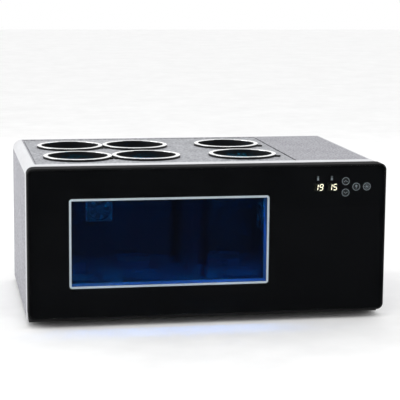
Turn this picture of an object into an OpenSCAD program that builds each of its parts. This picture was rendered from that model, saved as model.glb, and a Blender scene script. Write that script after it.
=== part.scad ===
// Counter-top wine cooler for six open bottles, standing on its feet.
// +X is to the right, +Y to the back and +Z up. The origin is under the middle of the
// object, at the height of the counter. Depths named "from the glass" run towards the back.

/* [Overall] */
// Width across the front panel
body_w = 670; // [664:1:820]
// Depth from the front glass to the casing's rear edge
body_d = 448; // [440:1:560]
// Height of the casing's top above the counter
body_h = 294; // [286:1:360]

/* [Casing] */
// Thickness of the casing sheet
skin_t = 1.5; // [1:0.1:2]
// Outer radius of the casing's long top edges
edge_r = 16; // [8:1:22]
// Height of the casing's lower edge above the counter
casing_low = 8; // [7:0.5:12]
// Distance that the casing is set in from the ends of the front panel
casing_inset = 1.5; // [0.5:0.1:3]
// Width of the flange folded inwards at the casing's rear edge
flange_w = 12; // [10:1:18]
// Depth that the back panel is recessed from the casing's rear edge
back_recess = 2; // [2:0.5:6]
// Thickness of the back panel
back_t = 1.5; // [1:0.1:2]
// Thickness of the base pan
base_t = 2; // [1.5:0.1:3]
// Height of the base pan's walls above the counter
base_wall_h = 30; // [26:1:34]

/* [Feet] */
// Height of a foot
foot_h = 6; // [5:0.5:6.5]
// Diameter of a foot
foot_d = 32; // [24:1:40]
// Distance from a foot's centre to the end of the front panel
foot_side = 45; // [40:1:60]
// Distance from the front feet to the glass
foot_front = 75; // [60:1:90]
// Distance from the rear feet to the casing's rear edge
foot_rear = 36; // [28:1:42]
// Shank diameter of the foot screws
foot_screw_d = 4; // [3:0.5:5]

/* [Front panel] */
// Height of the front panel's lower edge above the counter
panel_low = 16; // [14:0.5:20]
// Distance that the front panel stands above the casing's top
panel_proud = 1; // [0:0.5:3]
// Depth of the bezel from the glass
panel_d = 33; // [30:1:36]
// Corner radius of the front panel
panel_r = 12; // [6:1:20]
// Thickness of the bezel's rim and web
panel_wall = 3; // [2:0.5:4]
// Thickness of the front glass
glass_t = 4; // [3:0.5:5]
// Thickness of the black print behind the glass
mask_t = 0.6; // [0.4:0.1:1]
// Thickness of the inner pane
inner_pane_t = 4; // [3:0.5:5]
// Depth of the rubber frame that holds the inner pane
pane_gasket_t = 3; // [2:0.5:4]

/* [Window] */
// Distance from the front panel's left end to the window trim
window_left = 75.5; // [70:0.5:90]
// Width over the window trim
window_w = 371.5; // [340:0.5:380]
// Height of the window trim's lower edge above the panel's lower edge
window_low = 56.5; // [50:0.5:64]
// Height over the window trim
window_h = 166; // [140:0.5:170]
// Width of the window trim
trim_w = 4; // [2:0.5:6]
// Outer corner radius of the window trim
window_r = 5.5; // [5:0.5:8]

/* [Controls] */
// Distance from the left digit display's middle to the panel's right end
digit_right = 129; // [125:1:135]
// Distance from the displays' middle to the panel's top edge
digit_down = 43.5; // [40:0.5:50]
// Distance between the two digit displays
digit_pitch = 26.5; // [25:0.5:28]
// Width and height of a digit display
digit_size = [21, 15]; // [10:0.5:22]
// Distance between neighbouring touch icons
key_pitch = 20.5; // [19:0.5:22]
// Distance of the up and down icons from the row of the others
key_rise = 10.75; // [9:0.25:12]
// Outer diameter of a touch icon
key_d = 14.4; // [12:0.1:16]

/* [Wells] */
// Distance from the first column of wells to the front panel's left end
well_left = 106.5; // [105:0.5:112]
// Distance between the two columns of the left zone
col_pitch = 131.5; // [131.5:0.5:136]
// Distance between the second column and the right zone's column
zone_pitch = 188.5; // [180:0.5:196]
// Distance from the front row of wells to the glass
well_front = 156; // [152:1:160]
// Distance between the two rows
row_pitch = 163; // [150:1:168]
// Clear diameter through a collar
well_d = 114; // [90:0.5:115]
// Wall thickness of a collar's sleeve
collar_t = 1.6; // [1.2:0.1:2]
// Outer diameter of a ring
ring_d = 130.8; // [124:0.1:130.8]
// Height of a ring above its collar's flange
ring_h = 3.5; // [3:0.5:6]
// Thickness of a collar's flange
collar_flange_t = 1.5; // [1:0.1:2]
// Angle of a finger tab in front of the row's line
tab_angle = 24; // [24:1:40]
// Length that a finger tab stands out from its ring, in the left zone
tab_len = 5.5; // [4:0.5:6]
// Length that a finger tab stands out from its ring, in the right zone
right_tab_len = 10; // [6:0.5:12]
// Width of a finger tab
tab_w = 8; // [6:0.5:11]
// Height of a finger tab
tab_h = 3; // [2:0.5:4]

/* [Insert plate] */
// Distance from the outer columns of wells to the plate's ends
plate_side = 84.5; // [80:0.5:88]
// Distance from the front row of wells to the plate's front edge
plate_front = 95; // [88:1:98]
// Distance from the rear row of wells to the plate's rear edge
plate_rear = 117; // [100:1:118]
// Width of the seam round the plate
seam = 1.5; // [1:0.1:3]
// Depth of the foam under the plate
top_foam_h = 28.5; // [24:0.5:34]
// Thickness of the ceiling panel
ceiling_t = 2; // [1.5:0.1:3]

/* [Chamber] */
// Distance from the glass to the chamber's front wall
chamber_front = 40; // [38:1:42]
// Distance from the outer columns of wells to the chamber's side walls
chamber_side = 70; // [66:1:72]
// Distance from the rear row of wells to the chamber's back wall
chamber_rear = 62; // [61:1:64]
// Height of the chamber's floor above the counter
floor_h = 55; // [50:1:60]
// Wall thickness of the liner
liner_t = 2; // [1.5:0.1:3]
// Thickness of a tray's plate
tray_t = 2; // [1.5:0.5:4]
// Height of a bottle's seat above the chamber's floor
seat_h = 7; // [5:0.5:8]
// Inner diameter of a bottle cup
cup_d = 86; // [80:1:90]
// Height of a cup's rim above its seat
cup_rim_h = 3; // [2:0.5:3.5]
// Wall thickness of a cup's rim
cup_rim_t = 2.5; // [2:0.5:3]
// Thickness of the zone divider
divider_t = 8; // [6:0.5:10]
// Height of a light bar
led_h = 12; // [10:1:14]

/* [Cooling] */
// Side of a Peltier module
peltier_w = 40; // [30:1:40]
// Thickness of a Peltier module
peltier_t = 4; // [3:0.5:5]
// Side of a cold sink
cold_sink_w = 54; // [52:1:60]
// Side of a hot sink
hot_sink_w = 90; // [80:1:100]
// Depth of the left hot sink
hot_sink_left_d = 22; // [18:1:23]
// Depth of the right hot sink
hot_sink_right_d = 44; // [30:1:50]
// Side of a cold fan
cold_fan_w = 50; // [40:1:50]
// Side of a hot fan
hot_fan_w = 70; // [60:1:70]
// Depth of every fan
fan_t = 15; // [14:1:16]
// Number of blades on a fan rotor
blades = 7; // [5:1:9]
// Distance from the chamber to the bulkhead of the machine compartment
side_foam_t = 30; // [26:1:36]

/* [Hidden] */
$fn = 96;
gap = 0.3;            // clearance between neighbouring pieces
fit_gap = 0.06;       // radial running clearance of a fan rotor on its pin
eps = 1;              // extra length of a cutting shape past a face

front = -body_d / 2;
left = -body_w / 2;
right = body_w / 2;
rear = body_d / 2;

// Casing, base and back
case_x = right - casing_inset;
inner_x = case_x - skin_t;
inner_top = body_h - skin_t;
case_front = front + panel_d;
back_y = rear - back_recess - back_t;
pan_x = inner_x - gap;
pan_floor = foot_h + base_t;
flange_y = back_y - skin_t;

// Front panel
panel_top = body_h + panel_proud;
panel_h = panel_top - panel_low;
panel_z = (panel_top + panel_low) / 2;
rim_y = front + 0.4;
mask_y = front + glass_t;
web_y = mask_y + mask_t;
web_back = web_y + panel_wall;

// Window
window_x = left + window_left + window_w / 2;
window_z = panel_low + window_low + window_h / 2;
view_w = window_w - 2 * trim_w;
view_h = window_h - 2 * trim_w;
view_r = window_r - trim_w;
reveal_wall = panel_wall;

// Wells
col_x = [left + well_left, left + well_left + col_pitch, left + well_left + col_pitch + zone_pitch];
row_y = [front + well_front, front + well_front + row_pitch];
wells = [for (y = row_y) for (x = col_x) [x, y]];
tab_dir = [1, -1, 1, 1, -1, 1];
tab_reach = [tab_len, tab_len, right_tab_len, tab_len, tab_len, right_tab_len];
collar_r = well_d / 2 + collar_t;
hole_r = collar_r + 0.5;
ring_r = ring_d / 2;
flange_z = body_h + collar_flange_t;
ring_top = flange_z + ring_h;
lip_t = 0.7;
ring_edge_r = 1.2;

// Insert plate
plate_x = [col_x[0] - plate_side, col_x[2] + plate_side];
plate_y = [row_y[0] - plate_front, row_y[1] + plate_rear];
gasket_lip = 5;

// Chamber
ceiling_z = inner_top - top_foam_h - ceiling_t;
liner_x = [col_x[0] - chamber_side, col_x[2] + chamber_side];
liner_y = [front + chamber_front, row_y[1] + chamber_rear];
liner_top = inner_top - ceiling_t;
divider_x = (col_x[1] + col_x[2]) / 2;
guide_w = divider_t + 8;
guide_d = 12;
seat_z = floor_h + seat_h;
pane_back = liner_y[0] - liner_t - pane_gasket_t;

// Cooling: each unit's own axis runs outwards from the chamber's inner wall
unit_z = (floor_h + ceiling_z) / 2;
left_unit_x = (col_x[0] + col_x[1]) / 2;
right_unit_y = (row_y[0] + row_y[1]) / 2;
hot_fan_back = back_y - gap;
foam_rear = hot_fan_back - fan_t - gap - hot_sink_left_d - peltier_t;
left_hot = foam_rear - liner_y[1];
right_hot = side_foam_t;
unit_hole = cold_sink_w + 2;
bulkhead_x = liner_x[1] + side_foam_t;
bulkhead_t = 1.2;
bay_x = (bulkhead_x + bulkhead_t + inner_x) / 2;
exhaust_x = inner_x - flange_w - hot_fan_w / 2 - 12;

// Controls
digit_x = [right - digit_right, right - digit_right + digit_pitch];
digit_z = panel_top - digit_down;
key_x = digit_x[1] + digit_pitch / 2 + key_d / 2 + 4.5;
keys = [[key_x, digit_z + key_rise], [key_x, digit_z - key_rise],
        [key_x + key_pitch, digit_z], [key_x + 2 * key_pitch, digit_z]];
key_hole_d = key_d + 2;
zone_icon = [5, 8];
zone_icon_up = 17;
board_x = [digit_x[0] - 18, key_x + 2 * key_pitch + 18];
board_z = [digit_z - 22, digit_z + 26];

// Feet and screws
foot_xy = [for (x = [left + foot_side, right - foot_side])
           for (y = [front + foot_front, rear - foot_rear]) [x, y]];
back_screw_d = 3.8;
low_screw_z = 20;
back_screw_xz = concat(
    [for (x = [-290, -100, 100]) [x, low_screw_z]],
    [for (s = [-1, 1]) [s * (inner_x - flange_w / 2), body_h / 2]],
    [for (x = [-240, -80, 80, 240]) [x, inner_top - flange_w / 2]]);
inlet_x = exhaust_x;
inlet_z = 54;
inlet_size = [48, 30];

CHROME_RINGS = [for (i = [1:6]) str("chrome_ring_", i)];
COLLARS = [for (i = [1:6]) str("collar_", i)];

// The two ends of a stretch of this width about its middle
function span(middle, width) = [middle - width / 2, middle + width / 2];

// A box between two values on each axis
module box(x, y, z) {
    translate([x[0], y[0], z[0]])
        cube([x[1] - x[0], y[1] - y[0], z[1] - z[0]]);
}

// A flat shape drawn in X and Z, made solid from one depth to another
module along_y(y0, y1) {
    translate([0, y1, 0])
        rotate([90, 0, 0])
            linear_extrude(y1 - y0) children();
}

// A flat shape drawn in X and Y, made solid from one height to another
module along_z(z0, z1) {
    translate([0, 0, z0])
        linear_extrude(z1 - z0) children();
}

// A rectangle with round corners, on its middle
module rounded(w, h, r) {
    square([w - 2 * r, h], center = true);
    square([w, h - 2 * r], center = true);
    for (x = [-1, 1]) for (y = [-1, 1])
        translate([x * (w / 2 - r), y * (h / 2 - r)]) circle(r);
}

// A disc or drilling across a front or rear face, from one depth to another
module round_y(x, z, d, y0, y1) {
    translate([x, y1, z])
        rotate([90, 0, 0]) cylinder(d = d, h = y1 - y0);
}

// The casing's section in X and Z, this far inside its outer surface
module casing_section(inset) {
    r = edge_r - inset;
    w = 2 * (case_x - inset);
    top = body_h - inset;
    translate([-w / 2, casing_low]) square([w, top - r - casing_low]);
    translate([-w / 2 + r, casing_low]) square([w - 2 * r, top - casing_low]);
    for (x = [-1, 1]) translate([x * (w / 2 - r), top - r]) circle(r);
}

// The front panel's outline, this far inside its edge
module panel_outline(inset) {
    translate([0, panel_z])
        rounded(body_w - 2 * inset, panel_h - 2 * inset, panel_r - inset);
}

// The window's outline, this far outside the clear view
module window_outline(grow) {
    translate([window_x, window_z])
        rounded(view_w + 2 * grow, view_h + 2 * grow, view_r + grow);
}

// Six round holes at the wells
module well_holes(r) {
    for (p = wells) translate(p) circle(r);
}

// Puts a cooling unit's piece at the chamber's back wall, for the left zone
module at_left_unit() {
    translate([left_unit_x, liner_y[1], unit_z]) rotate([-90, 0, 0]) children();
}

// Puts a cooling unit's piece at the chamber's right wall, for the right zone
module at_right_unit() {
    translate([liner_x[1], right_unit_y, unit_z]) rotate([0, 90, 0]) children();
}

// Puts a fan's piece behind the back panel's grille, at this place across the width
module at_back_fan(x) {
    translate([x, hot_fan_back - fan_t, unit_z]) rotate([-90, 0, 0]) children();
}

// A square block on a unit's axis, from one distance to another
module unit_block(w, from, to) {
    translate([-w / 2, -w / 2, from]) cube([w, w, to - from]);
}

// Textured sheet bent over both sides and the top, with a cut-out for the insert plate
module casing() {
    color("silver") {
        difference() {
            along_y(case_front, rear) casing_section(0);
            along_y(case_front - eps, rear + eps) casing_section(skin_t);
            box([-inner_x, inner_x], [case_front - eps, rear + eps],
                [casing_low - eps, casing_low]);
            box(plate_x + seam * [-1, 1], plate_y + seam * [-1, 1],
                [inner_top - eps, body_h + eps]);
        }
        difference() {
            along_y(flange_y, back_y) casing_section(skin_t);
            along_y(flange_y - eps, back_y + eps) casing_section(skin_t + flange_w);
            for (p = back_screw_xz)
                round_y(p[0], p[1], back_screw_d + 0.4, flange_y - eps, back_y + eps);
        }
    }
}

// Shallow black pan under everything, with intake slots below the machine compartment
module base_pan() {
    slot = [46, 4];
    slots = 10;
    slot_pitch = 11;
    color("#18181a")
    difference() {
        union() {
            box([-pan_x, pan_x], [case_front, back_y - gap], [foot_h, pan_floor]);
            box([-pan_x, pan_x], [case_front, case_front + base_t], [foot_h, base_wall_h]);
            for (x = [-pan_x, pan_x - base_t])
                box([x, x + base_t], [case_front, flange_y - gap], [foot_h, base_wall_h]);
            box([-1, 1] * (inner_x - flange_w - gap), [back_y - base_t - gap, back_y - gap],
                [foot_h, base_wall_h]);
        }
        for (x = [bulkhead_x + 12, bulkhead_x + 22 + slot[0]]) for (i = [0:slots - 1])
            translate([x, front + 250 + i * slot_pitch, foot_h - eps])
                cube([slot[0], slot[1], base_t + 2 * eps]);
        for (p = foot_xy) translate([p[0], p[1], foot_h - eps])
            cylinder(d = foot_screw_d + 0.4, h = base_t + 2 * eps);
        for (p = back_screw_xz)
            round_y(p[0], p[1], back_screw_d + 0.4, back_y - base_t - eps, back_y + eps);
    }
}

// A round field of level slots over a fan, and the same field's own rim stays whole
module grille_slots(x, d) {
    slot_h = 4;
    pitch = 7.5;
    rows = floor(d / 2 / pitch);
    for (i = [-rows:rows]) {
        half = sqrt(pow(d / 2, 2) - pow(abs(i) * pitch, 2));
        translate([x, unit_z + i * pitch]) square([2 * max(half, slot_h), slot_h], center = true);
    }
}

// Flat back sheet inside the casing, with two exhaust grilles and the mains inlet's hole
module back_panel() {
    color("#3a3b3e")
    along_y(back_y, back_y + back_t) difference() {
        intersection() {
            casing_section(skin_t + gap);
            translate([-body_w / 2, casing_low + 0.5]) square([body_w, body_h]);
        }
        grille_slots(left_unit_x, hot_fan_w - 6);
        grille_slots(exhaust_x, hot_fan_w - 6);
        translate([inlet_x, inlet_z]) square(inlet_size - [20, 10] + [gap, gap], center = true);
        for (p = back_screw_xz) translate(p) circle(d = back_screw_d + 0.4);
    }
}

// Deep moulded frame with a thin web behind the glass, open at the back
module front_bezel() {
    color("#1c1c1e")
    difference() {
        along_y(rim_y, case_front) panel_outline(0);
        along_y(rim_y - eps, web_y) panel_outline(panel_wall);
        along_y(web_back, case_front + eps) panel_outline(panel_wall);
        along_y(web_y - eps, web_back + eps) window_outline(0);
        box([board_x[0] + 6, board_x[1] - 6], [web_y - eps, web_back + eps],
            [board_z[0] + 4, board_z[1] - 4]);
    }
}

// One toughened pane over the whole front
module front_glass() {
    color("#20242a", 0.35)
    along_y(front, mask_y) panel_outline(panel_wall + gap);
}

// Black print behind the glass, open at the window, the displays and the touch icons
module glass_mask() {
    color("#050506")
    along_y(mask_y, web_y) difference() {
        panel_outline(panel_wall + gap);
        window_outline(trim_w);
        for (x = digit_x) translate([x, digit_z])
            square(digit_size + [gap, gap], center = true);
        for (x = digit_x) translate([x - 2, digit_z + zone_icon_up])
            square(zone_icon + [1, 1], center = true);
        for (p = keys) translate(p) circle(d = key_hole_d);
    }
}

// Bright line round the window, in the plane of the print
module window_trim() {
    color("#d9dce0")
    along_y(mask_y, web_y) difference() {
        window_outline(trim_w);
        window_outline(0);
    }
}

// White frame between the web and the liner, rebated for the inner pane
module window_reveal() {
    color("#e8ecf0")
    difference() {
        along_y(web_back, liner_y[0] - liner_t) window_outline(trim_w + reveal_wall);
        along_y(web_back - eps, liner_y[0]) window_outline(0);
        along_y(pane_back - inner_pane_t, liner_y[0]) window_outline(trim_w);
    }
}

// Inner pane of the double glazing
module inner_pane() {
    color("#bfd4e6", 0.35)
    along_y(pane_back - inner_pane_t, pane_back) window_outline(trim_w - gap);
}

// Rubber frame that keeps the inner pane in the reveal
module pane_gasket() {
    color("#2a2b2d")
    along_y(pane_back, liner_y[0] - liner_t) difference() {
        window_outline(trim_w);
        window_outline(0);
    }
}

// Moulded chamber, open at the top, with a window and two holes for the cold sinks
module liner() {
    color("#dfe6ee")
    difference() {
        box(liner_x + liner_t * [-1, 1], liner_y + liner_t * [-1, 1],
            [floor_h - liner_t, liner_top]);
        box(liner_x, liner_y, [floor_h, liner_top + eps]);
        box([liner_x[0] - liner_t - eps, liner_x[1] + liner_t + eps],
            [liner_y[0] - liner_t - eps, liner_y[0] + eps],
            [ceiling_z + ceiling_t, liner_top + eps]);
        along_y(liner_y[0] - liner_t - eps, liner_y[0] + eps) window_outline(0);
        at_left_unit() unit_block(unit_hole, -eps, liner_t + eps);
        at_right_unit() unit_block(unit_hole, -eps, liner_t + eps);
    }
}

// Foam block round the liner's sides, back and floor
module insulation() {
    pocket_r = 7;
    color("#e6dcb8")
    difference() {
        intersection() {
            box([-pan_x + base_t, bulkhead_x], [liner_y[0] - liner_t, foam_rear],
                [pan_floor, liner_top - gap]);
            along_y(liner_y[0] - liner_t, foam_rear) casing_section(skin_t + gap);
        }
        box(liner_x + liner_t * [-1, 1], [liner_y[0] - liner_t - eps, liner_y[1] + liner_t],
            [floor_h - liner_t, liner_top + eps]);
        at_left_unit() unit_block(unit_hole, 0, left_hot + eps);
        at_right_unit() unit_block(unit_hole, 0, right_hot + eps);
        for (p = foot_xy) translate([p[0], p[1], pan_floor - eps])
            cylinder(r = pocket_r, h = 12 + eps);
    }
}

// Foam in the hollow of the bezel round the window, with a bar over the chamber's front
module front_foam() {
    foam_x = [-inner_x + gap, board_x[0] - 6];
    foam_z = [base_wall_h + 1, liner_top - gap];
    color("#e6dcb8") {
        difference() {
            intersection() {
                box(foam_x, [web_back, liner_y[0] - liner_t], foam_z);
                along_y(web_back, liner_y[0] - liner_t) casing_section(skin_t + gap);
            }
            along_y(web_back - eps, liner_y[0]) window_outline(trim_w + reveal_wall);
        }
        box([liner_x[0], liner_x[1]], [liner_y[0] - liner_t, plate_y[0] - 2 * gap],
            [ceiling_z + ceiling_t, foam_z[1]]);
    }
}

// Steel wall between the foam and the machine compartment
module bulkhead() {
    color("#b9bcc0")
    difference() {
        box([bulkhead_x, bulkhead_x + bulkhead_t], [liner_y[0], foam_rear],
            [pan_floor, liner_top - gap]);
        at_right_unit() unit_block(peltier_w + 4, right_hot - eps, right_hot + bulkhead_t + eps);
    }
}

// Textured plate let into the casing's top, with six wells
module insert_plate() {
    color("#a9abae")
    along_z(inner_top, body_h) difference() {
        translate([plate_x[0], plate_y[0]])
            square([plate_x[1] - plate_x[0], plate_y[1] - plate_y[0]]);
        well_holes(hole_r);
    }
}

// Rubber seal in the seam, with a lip under the plate and under the casing
module plate_gasket() {
    lip_h = 1.5;
    color("#1a1a1b")
    difference() {
        union() {
            box(plate_x + (seam + 4) * [-1, 1], plate_y + (seam + 4) * [-1, 1],
                [inner_top - lip_h, inner_top]);
            box(plate_x + seam * [-1, 1], plate_y + seam * [-1, 1], [inner_top, body_h - 0.7]);
        }
        box(plate_x, plate_y, [inner_top, body_h]);
        box(plate_x - gasket_lip * [-1, 1], plate_y - gasket_lip * [-1, 1],
            [inner_top - lip_h - eps, body_h]);
    }
}

// Foam under the insert plate, with a hole for each collar
module top_foam() {
    color("#e6dcb8")
    along_z(ceiling_z + ceiling_t, inner_top) difference() {
        y0 = plate_y[0] + gasket_lip + gap;
        translate([liner_x[0] + gap, y0])
            square([liner_x[1] - liner_x[0] - 2 * gap, liner_y[1] - gap - y0]);
        well_holes(hole_r + gap);
    }
}

// White panel that closes the chamber from above, with six holes
module ceiling_panel() {
    color("#e8ecf0")
    along_z(ceiling_z, ceiling_z + ceiling_t) difference() {
        translate([liner_x[0] + gap, liner_y[0] + gap])
            square([liner_x[1] - liner_x[0] - 2 * gap, liner_y[1] - liner_y[0] - 2 * gap]);
        well_holes(hole_r);
    }
}

// Clear wall between the two zones
module zone_divider() {
    color("#cfe2f2", 0.35)
    box(span(divider_x, divider_t), liner_y + (guide_d - 6) * [1, -1],
        [floor_h, ceiling_z - gap]);
}

// Two upright channels that hold the divider
module divider_guides() {
    slot = divider_t + 2 * gap;
    color("#e8ecf0")
    for (y = [[liner_y[0], liner_y[0] + guide_d], [liner_y[1] - guide_d, liner_y[1]]])
        difference() {
            box(span(divider_x, guide_w), y, [floor_h, ceiling_z - gap]);
            box(span(divider_x, slot), liner_y + (guide_d - 7) * [1, -1],
                [floor_h - eps, ceiling_z + eps]);
        }
}

// A tray plate between two X values, with a rimmed cup under each of these wells
module tray(x, cups) {
    rim_d = cup_d + 2 * cup_rim_t;
    color("#bcd2e8")
    difference() {
        union() {
            box(x, liner_y + 0.5 * [1, -1], [floor_h, floor_h + tray_t]);
            for (p = cups) translate([p[0], p[1], floor_h])
                cylinder(d = rim_d, h = seat_h + cup_rim_h);
        }
        for (p = cups) translate([p[0], p[1], seat_z])
            cylinder(d = cup_d, h = cup_rim_h + eps);
    }
}

// Tray of the four-bottle zone
module left_tray() {
    tray([liner_x[0] + 0.5, divider_x - guide_w / 2 - 0.5],
        [for (y = row_y) for (i = [0, 1]) [col_x[i], y]]);
}

// Tray of the two-bottle zone
module right_tray() {
    tray([divider_x + guide_w / 2 + 0.5, liner_x[1] - 0.5],
        [for (y = row_y) [col_x[2], y]]);
}

// The X ranges of the two light bars
led_x = [[liner_x[0] + 8, divider_x - guide_w / 2 - 6], [divider_x + guide_w / 2 + 6, liner_x[1] - 8]];
led_y = [liner_y[0] + 0.5, liner_y[0] + 14];

// Aluminium channels under the ceiling, just behind the chamber's front wall
module led_bars() {
    wall = 1.2;
    color("#c8ccd0")
    for (x = led_x) difference() {
        box(x, led_y, [ceiling_z - led_h, ceiling_z]);
        box(x + wall * [1, -1], led_y + wall * [1, -1], [ceiling_z - led_h - eps, ceiling_z - wall]);
    }
}

// Frosted strips in the mouths of the light bars
module led_diffusers() {
    wall = 1.2;
    color("#5aa8ff")
    for (x = led_x)
        box(x + wall * [1, -1], led_y + wall * [1, -1], [ceiling_z - led_h, ceiling_z - led_h + 2]);
}

// A small sensor capsule in a clip on each zone's back wall
module temp_probes() {
    probe_r = 3;
    probe_h = 30;
    clip = [10, 4, 8];
    z0 = unit_z + 20;
    clip_z = z0 + (probe_h - clip[2]) / 2;
    color("#d0d4d8")
    for (x = [divider_x - 40, liner_x[1] - 15]) {
        translate([x, liner_y[1] - probe_r - 1, z0]) cylinder(r = probe_r, h = probe_h);
        translate([x - clip[0] / 2, liner_y[1] - clip[1], clip_z]) cube(clip);
    }
}

// Bright ring with a rounded outer edge and a thin lip over the collar's sleeve
module chrome_ring(i) {
    body_r = collar_r + 0.2;
    color("#e4e6e9")
    translate([wells[i][0], wells[i][1], 0])
        rotate_extrude() {
            translate([body_r, flange_z])
                square([ring_r - ring_edge_r - body_r, ring_h]);
            translate([ring_r - ring_edge_r, flange_z])
                square([ring_edge_r, ring_h - ring_edge_r]);
            intersection() {
                translate([ring_r - ring_edge_r, ring_top - ring_edge_r]) circle(ring_edge_r);
                translate([ring_r - ring_edge_r, ring_top - ring_edge_r]) square(ring_edge_r);
            }
            translate([well_d / 2, ring_top - lip_t]) square([body_r - well_d / 2, lip_t]);
        }
}

// Black sleeve through the plate and the foam, with a flange and a finger tab
module collar(i) {
    tab_r = ring_r + gap;
    turn = tab_dir[i] > 0 ? -tab_angle : 180 + tab_angle;
    reach = tab_reach[i] - tab_w / 2;
    color("#101011")
    translate([wells[i][0], wells[i][1], 0]) {
        rotate_extrude() {
            translate([well_d / 2, ceiling_z])
                square([collar_t, ring_top - lip_t - 0.1 - ceiling_z]);
            translate([well_d / 2, body_h])
                square([ring_r + 0.2 - well_d / 2, collar_flange_t]);
        }
        rotate([0, 0, turn]) difference() {
            union() {
                translate([ring_r - 3, -tab_w / 2, body_h])
                    cube([reach + 3, tab_w, tab_h]);
                translate([ring_r + reach, 0, body_h]) cylinder(d = tab_w, h = tab_h);
            }
            translate([0, 0, flange_z]) cylinder(r = tab_r, h = tab_h);
        }
    }
}

// Cold sink: fins towards the chamber, a base, and a pedestal through the foam
module cold_sink(hot) {
    fins = 9;
    fin_t = 1.4;
    base = [11, 17];
    color("#c3c7cb") {
        unit_block(cold_sink_w, base[0], base[1]);
        unit_block(peltier_w, base[1], hot);
        for (i = [0:fins - 1])
            translate([-cold_sink_w / 2 + i * (cold_sink_w - fin_t) / (fins - 1), -cold_sink_w / 2, -0.5])
                cube([fin_t, cold_sink_w, base[0] + 0.5]);
    }
}

// Peltier module: two ceramic plates on a core of pellets
module peltier(hot) {
    ceramic = peltier_t / 4;
    color("#f2f2ee") {
        unit_block(peltier_w, hot, hot + ceramic);
        unit_block(peltier_w - 2, hot + ceramic, hot + peltier_t - ceramic);
        unit_block(peltier_w, hot + peltier_t - ceramic, hot + peltier_t);
    }
}

// Hot sink: a base on the Peltier module with fins away from it
module hot_sink(hot, depth) {
    fins = 16;
    fin_t = 1.2;
    base_end = hot + peltier_t + 5;
    color("#c3c7cb") {
        unit_block(hot_sink_w, hot + peltier_t, base_end);
        for (i = [0:fins - 1])
            translate([-hot_sink_w / 2 + i * (hot_sink_w - fin_t) / (fins - 1), -hot_sink_w / 2, base_end])
                cube([fin_t, hot_sink_w, depth - 5]);
    }
}

// Square fan frame with four struts, a motor plate and the rotor's fixed pin
module fan_frame(w) {
    plate_t = 2;
    strut_w = 3;
    hub_r = w * 0.18;
    color("#151516") {
        difference() {
            unit_block(w, 0, fan_t);
            translate([0, 0, -eps]) cylinder(d = w - 4, h = fan_t + 2 * eps);
            for (x = [-1, 1]) for (y = [-1, 1])
                translate([x * (w / 2 - 4), y * (w / 2 - 4), -eps])
                    cylinder(d = 3.4, h = fan_t + 2 * eps);
        }
        for (a = [0:90:270]) rotate([0, 0, a + 30])
            translate([hub_r - 1, -strut_w / 2, 0]) cube([w / 2 - hub_r + 3, strut_w, plate_t]);
        cylinder(r = hub_r, h = plate_t);
        cylinder(r = 1.5, h = fan_t - 3);
    }
}

// Fan rotor: a hub with a blind bore on the pin, and flat pitched blades
module fan_rotor(w) {
    hub_r = w * 0.17;
    hub_z = [2.8, fan_t - 1];
    tip_r = w / 2 - 4.5;
    root_r = hub_r - 1.5;
    chord = w * 0.18;
    blade_t = 1.2;
    pitch = 35;
    color("#222224")
    difference() {
        union() {
            translate([0, 0, hub_z[0]]) cylinder(r = hub_r, h = hub_z[1] - hub_z[0]);
            for (i = [0:blades - 1]) rotate([0, 0, i * 360 / blades])
                translate([root_r, 0, (hub_z[0] + hub_z[1]) / 2]) rotate([pitch, 0, 0])
                    translate([0, -chord / 2, -blade_t / 2]) cube([tip_r - root_r, chord, blade_t]);
        }
        translate([0, 0, hub_z[0] - eps]) cylinder(r = 1.5 + fit_gap, h = fan_t - 3 + 0.4 - hub_z[0] + eps);
    }
}

// Boxed power supply with cooling slots and a terminal block
module power_supply() {
    size = [98, 150, 42];
    slots = 8;
    x0 = bay_x - size[0] / 2;
    y0 = front + foot_front + 12;
    color("#b4b7ba")
    difference() {
        translate([x0, y0, pan_floor]) cube(size);
        for (i = [0:slots - 1]) translate([x0 + 12, y0 + 30 + i * 13, pan_floor + size[2] - 2])
            cube([size[0] - 24, 5, 2 + eps]);
        translate([x0 + 10, y0 - eps, pan_floor + 16]) cube([size[0] - 20, 12 + eps, size[2]]);
    }
    color("#1d3a24")
    translate([x0 + 16, y0 + 1, pan_floor + 16]) cube([size[0] - 32, 10, 12]);
}

// Control circuit board on four posts beside the bulkhead
module control_board() {
    wall_x = bulkhead_x + bulkhead_t;
    post_h = 6;
    size = [1.6, 110, 96];
    y0 = front + 60;
    z0 = 120;
    x0 = wall_x + post_h;
    color("#1f5a34") translate([x0, y0, z0]) cube(size);
    color("#d8dadd") for (y = [6, size[1] - 6]) for (z = [6, size[2] - 6])
        translate([wall_x, y0 + y, z0 + z]) rotate([0, 90, 0]) cylinder(d = 6, h = post_h);
    color("#20242c") for (i = [0:2])
        translate([x0 + size[0], y0 + 14 + i * 28, z0 + 58]) cube([15, 20, 16]);
    color("#3b3f46") for (i = [0:3])
        translate([x0 + size[0], y0 + 18 + i * 24, z0 + 24]) rotate([0, 90, 0]) cylinder(d = 12, h = 20);
}

// Board behind the web, carrying the displays and the touch pads
module display_board() {
    y0 = web_back + 2;
    board_t = 1.6;
    color("#1f5a34") box(board_x, [y0, y0 + board_t], board_z);
    color("#d8dadd") for (x = board_x + 3 * [1, -1]) for (z = board_z + 3 * [1, -1])
        round_y(x, z, 4, web_back, y0);
    color("#20242c") box([board_x[0] + 40, board_x[0] + 60], [y0 + board_t, y0 + board_t + 2],
        [digit_z - 7, digit_z + 7]);
}

// One segment of a digit: a bar along X or Z
module segment(x, z, level) {
    long = 4.6;
    thick = 1;
    w = level ? long : thick;
    h = level ? thick : long;
    box(span(x, w), [mask_y + 0.1, mask_y + 0.3], span(z, h));
}

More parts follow.
